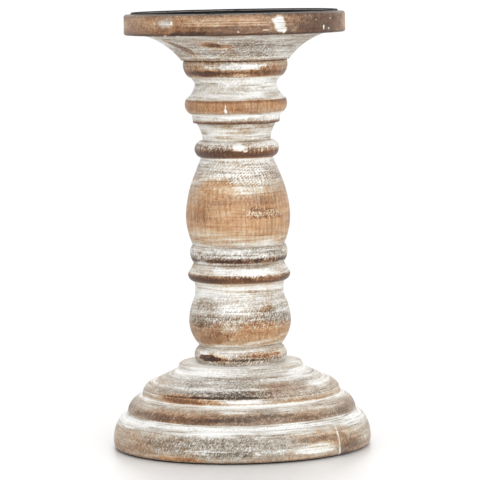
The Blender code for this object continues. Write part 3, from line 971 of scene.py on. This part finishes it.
def base_turning():
    """The stepped base: dome, fillet, ovolo, step and plinth."""
    low, high = node_levels("base_turning", 0.0, CLOSE)
    base_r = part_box("base_turning")[1].x / MM
    plinth = [(74.4, low), (75.2, low + 0.8)] + bow((base_r, 4.6), (71.4, 17.8), 1.1, 24)
    step = [(70.5, 18.2)] + bow((69.9, 18.4), (67.2, 20.6), -0.5, 8)
    ovolo = [(66.2, 20.8)] + bow((66.8, 21.8), (58.9, 30.6), 1.8, 24)
    fillet = [(58.2, 30.8), (57.5, 34.0), (56.9, 34.3)]
    dome = bow((57.2, 34.8), (51.3, 38.9), 0.7, 12) + bow((51.3, 38.9), (37.6, 45.4), 0.1, 12)[1:]
    top = [(36.9, 45.8), (36.3, 48.4), (35.3, high), (26.5, high)]
    outer = [(60.0, low)] + plinth + step + ovolo + fillet + dome + top
    inner = [(SCREW_HOLE_R, high), (SCREW_HOLE_R, COUNTERBORE_TOP), (COUNTERBORE_R, COUNTERBORE_TOP),
             (COUNTERBORE_R, low)]
    look = [(1.1, 0.50, 0.5, 0.3), (3, 0.64, 0.35, 0.3), (8, 0.67, 0.25, 0.25), (13, 0.64, 0.2, 0.25),
            (15.2, 0.70, 0.2, 0.3), (16.6, 0.83, 0.0, 0.2), (20.4, 0.84, 0.0, 0.2),
            (21.6, 0.56, 0.35, 0.3), (26, 0.56, 0.3, 0.3), (29.0, 0.68, 0.1, 0.3),
            (30.8, 0.90, 0.05, 0.2), (31.8, 0.56, 0.6, 0.3), (34, 0.74, 0.4, 0.4),
            (34.8, 0.64, 0.3, 0.5), (37, 0.74, 0.2, 0.45), (42, 0.78, 0.12, 0.4),
            (46, 0.82, 0.08, 0.3), (49, 0.84, 0.12, 0.3)]
    patches = [
        # Plinth
        ("tone", -58, 9, 22, 7, 0, -0.06),
        ("warm", -58, 9, 26, 8, 0, 0.3),
        ("speck", -12, 10, 34, 6, 0, 0.38),
        ("warm", -8, 9, 36, 8, 0, -0.3),
        ("tone", -36, 6.5, 14, 3, 0, 0.07),
        ("tone", -16, 7.4, 12, 2.2, 0.1, 0.16),
        ("tone", 12, 6.6, 9, 2, 0.1, 0.18),
        ("tone", 34, 6.8, 13, 2.6, 0.03, 0.25),
        ("tone", 16, 12.5, 12, 3, 0, -0.08),
        ("tone", 40, 12, 16, 2.4, 0, -0.20),
        ("tone", 55, 6, 10, 5, 0, -0.18),
        ("warm", 44, 11, 20, 6, 0, 0.3),
        ("tone", 47.5, 8.5, 0.35, 8.5, 0.05, 0.3),
        ("tone", 7, 6, 2, 0.6, -0.5, 0.4),
        ("warm", -30, 2.8, 14, 1.6, 0, 0.8),
        ("tone", -30, 2.8, 12, 1.2, 0, -0.12),
        # Ovolo and step
        ("warm", -36, 25, 30, 4, 0, 0.3),
        ("tone", -40, 23.5, 30, 2, 0, -0.16),
        ("tone", 8, 25, 26, 1.6, 0.05, -0.11),
        ("tone", -4, 28, 8, 1.2, 0, 0.12),
        ("tone", 26, 27.5, 8, 1, 0, 0.14),
        ("tone", 32, 23, 20, 1.4, 0, -0.14),
        ("tone", 46, 27, 20, 1.6, 0, 0.12),
        ("tone", 44, 19.2, 24, 1.4, 0, -0.13),
        # Dome and fillet
        ("tone", 2, 44.6, 30, 1.5, 0, -0.13),
        ("tone", 10, 41.5, 22, 2.6, 0, -0.12),
        ("tone", 6, 37.5, 24, 1.6, 0, -0.08),
        ("tone", 4, 33, 20, 1, 0, 0.20),
        ("tone", -36, 33.6, 18, 2.4, 0, -0.26),
        ("warm", -36, 33.6, 20, 3, 0, 0.7),
        ("tone", 34, 32.6, 16, 0.8, 0, -0.14),
        ("tone", 33, 39.6, 20, 2, -0.04, -0.22),
        ("warm", 33, 39.6, 22, 2.6, -0.04, 0.3),
        ("tone", 16, 36, 12, 1, 0, 0.12),
        ("speck", -18, 41.5, 34, 4, 0, 0.3),
        ("warm", -32, 41.5, 34, 5, 0, -0.3),
        ("tone", -52, 38, 12, 1.6, 0, -0.08),
        ("tone", 0, 41.5, 14, 1.4, 0, -0.06),
        ("tone", -10, 35.4, 28, 0.7, 0, -0.36),
        ("speck", -8, 37, 32, 2, 0, 0.4),
        # Sides and back, which the photo doesn't show
        ("tone", 120, 10, 24, 6, 0, -0.15),
        ("tone", -140, 8, 20, 4, 0, 0.25),
        ("tone", 160, 38, 26, 4, 0, -0.2),
        ("tone", -110, 25, 24, 3, 0, -0.2),
    ]
    chips = [(47.5, 8.0, 0.45, 7.0), (70.5, 9.0, 0.45, 4.0), (3.5, 33.2, 12.0, 1.0)]
    nicks = [(low + 0.6, 12, 0.4, 1.2), (18.0, 8, 0.25, 1.2), (34.6, 8, 0.3, 1.0)]
    piece = turned("base_wood", outer, inner, LOWER_SIDES, look, patches,
                   seed=71, nicks=nicks, chips=chips, step=BASE_ROW_STEP)
    wood = whitewashed_wood("base_wash", "face", seed=21.6, pith=(20.0, -90.0),
                            ring_pitch=2.4, ring_depth=0.04, contrast=0.92)
    put(piece, "base_turning", wood)


def candle_pan(metal):
    """The black pan: a rolled lip, a low wall and a flat floor with a ring pressed into it."""
    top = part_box("candle_pan")[1].z / MM
    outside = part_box("candle_pan")[1].x / MM
    sheet = 1.0
    inside = outside - sheet
    floor = top - 5.0
    under = floor - sheet
    outline = [(4.85, under)] + bow((outside - 2.4, under), (outside, under + 2.4), 0.7, 12)
    outline += bow((outside, top - sheet / 2.0), (inside, top - sheet / 2.0), sheet / 2.0, 14)
    outline += bow((inside, floor + 1.4), (inside - 1.4, floor), -0.41, 12)
    outline += bow((54.0, floor), (52.0, floor - 0.35), 0.06, 6)
    outline += bow((49.0, floor - 0.35), (47.0, floor), -0.06, 6)
    outline += [(4.9, floor), (4.45, floor - 0.12), (2.25, floor - 2.2), (2.95, floor - 2.9)]
    put(pressed("pan_steel", outline, PAN_SIDES), "candle_pan", metal)


def keep_node(node, material):
    """Gives a carried-over CAD node a finished material."""
    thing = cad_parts[node]
    thing.data.materials.clear()
    thing.data.materials.append(material)


# ---------------------------------------------------------------- studio

def studio_floor():
    """A pale paper floor, wide enough to reach the horizon."""
    mesh = bpy.data.meshes.new("studio_floor")
    reach = 30.0
    corners = [(x * reach, y * reach, 0.0) for x, y in ((-1, -1), (1, -1), (1, 1), (-1, 1))]
    mesh.from_pydata(corners, [], [(0, 1, 2, 3)])
    floor = bpy.data.objects.new("studio_floor", mesh)
    bpy.context.scene.collection.objects.link(floor)
    paper = bpy.data.materials.new("studio_paper")
    paper.use_nodes = True
    shader = paper.node_tree.nodes["Principled BSDF"]
    shader.inputs["Base Color"].default_value = (0.74, 0.735, 0.73, 1.0)
    shader.inputs["Roughness"].default_value = 0.35
    shader.inputs["Specular IOR Level"].default_value = 0.3
    mesh.materials.append(paper)


def soft_light(name, place, aim, size, power):
    """A rectangular lamp in metres and watts, turned to its aim."""
    data = bpy.data.lights.new(name, "AREA")
    data.shape = "RECTANGLE"
    data.size, data.size_y = size
    data.energy = power
    lamp = bpy.data.objects.new(name, data)
    lamp.location = place
    lamp.rotation_euler = (Vector(aim) - Vector(place)).to_track_quat("-Z", "Y").to_euler()
    bpy.context.scene.collection.objects.link(lamp)


def soft_sun(name, towards, spread, strength):
    """A wide, even light that shines towards a direction; spread is in degrees."""
    data = bpy.data.lights.new(name, "SUN")
    data.angle = math.radians(spread)
    data.energy = strength
    lamp = bpy.data.objects.new(name, data)
    lamp.rotation_euler = Vector(towards).to_track_quat("-Z", "Y").to_euler()
    bpy.context.scene.collection.objects.link(lamp)


def studio():
    """Plain pale surroundings with a soft lamp in front and a wide light from behind and above."""
    studio_floor()
    world = bpy.data.worlds.new("studio_world")
    world.use_nodes = True
    sky = world.node_tree.nodes["Background"]
    sky.inputs["Color"].default_value = (1.0, 1.0, 1.0, 1.0)
    sky.inputs["Strength"].default_value = 0.95
    bpy.context.scene.world = world
    soft_light("front", place=(0.5, -1.9, 0.7), aim=(0.0, 0.0, 0.13), size=(0.7, 0.7), power=17.0)
    soft_sun("back", towards=(0.0, -0.75, -0.65), spread=50.0, strength=1.0)
    bpy.context.scene.view_settings.view_transform = "Standard"


def camera():
    """The camera at the photograph's place, turned by its yaw, pitch and roll."""
    pitch, yaw, roll = (math.radians(v) for v in (CAMERA_PITCH, CAMERA_YAW, CAMERA_ROLL))
    ahead = Vector((math.sin(yaw) * math.cos(pitch), math.cos(yaw) * math.cos(pitch), -math.sin(pitch)))
    side = Vector((math.cos(yaw), -math.sin(yaw), 0.0))
    up = side.cross(ahead)
    right = side * math.cos(roll) + up * math.sin(roll)
    top = up * math.cos(roll) - side * math.sin(roll)
    data = bpy.data.cameras.new("camera")
    data.lens = CAMERA_LENS
    data.sensor_width = CAMERA_SENSOR
    data.clip_end = 50.0
    eye = bpy.data.objects.new("camera", data)
    axes = Matrix((right, top, -ahead)).transposed().to_4x4()
    eye.matrix_world = Matrix.Translation((0.0, -CAMERA_DISTANCE, CAMERA_HEIGHT)) @ axes
    bpy.context.scene.collection.objects.link(eye)
    bpy.context.scene.camera = eye


def build():
    """Everything in the picture: studio, new pieces and the CAD nodes kept as they are."""
    camera()
    studio()
    top_plate()
    stem_upper()
    stem_bulb()
    stem_disc()
    stem_lower()
    stem_collar()
    base_turning()
    metal = black_steel(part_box("candle_pan")[1].z / MM)
    candle_pan(metal)
    keep_node("pan_screw", metal)
    zinc = zinc_steel()
    keep_node("base_screw", zinc)
    keep_node("base_washer", zinc)
    wood = beech()
    for node in ("dowel_top", "dowel_upper", "dowel_middle"):
        keep_node(node, wood)
    keep_node("base_felt", felt())


build()
bpy.context.view_layer.update()
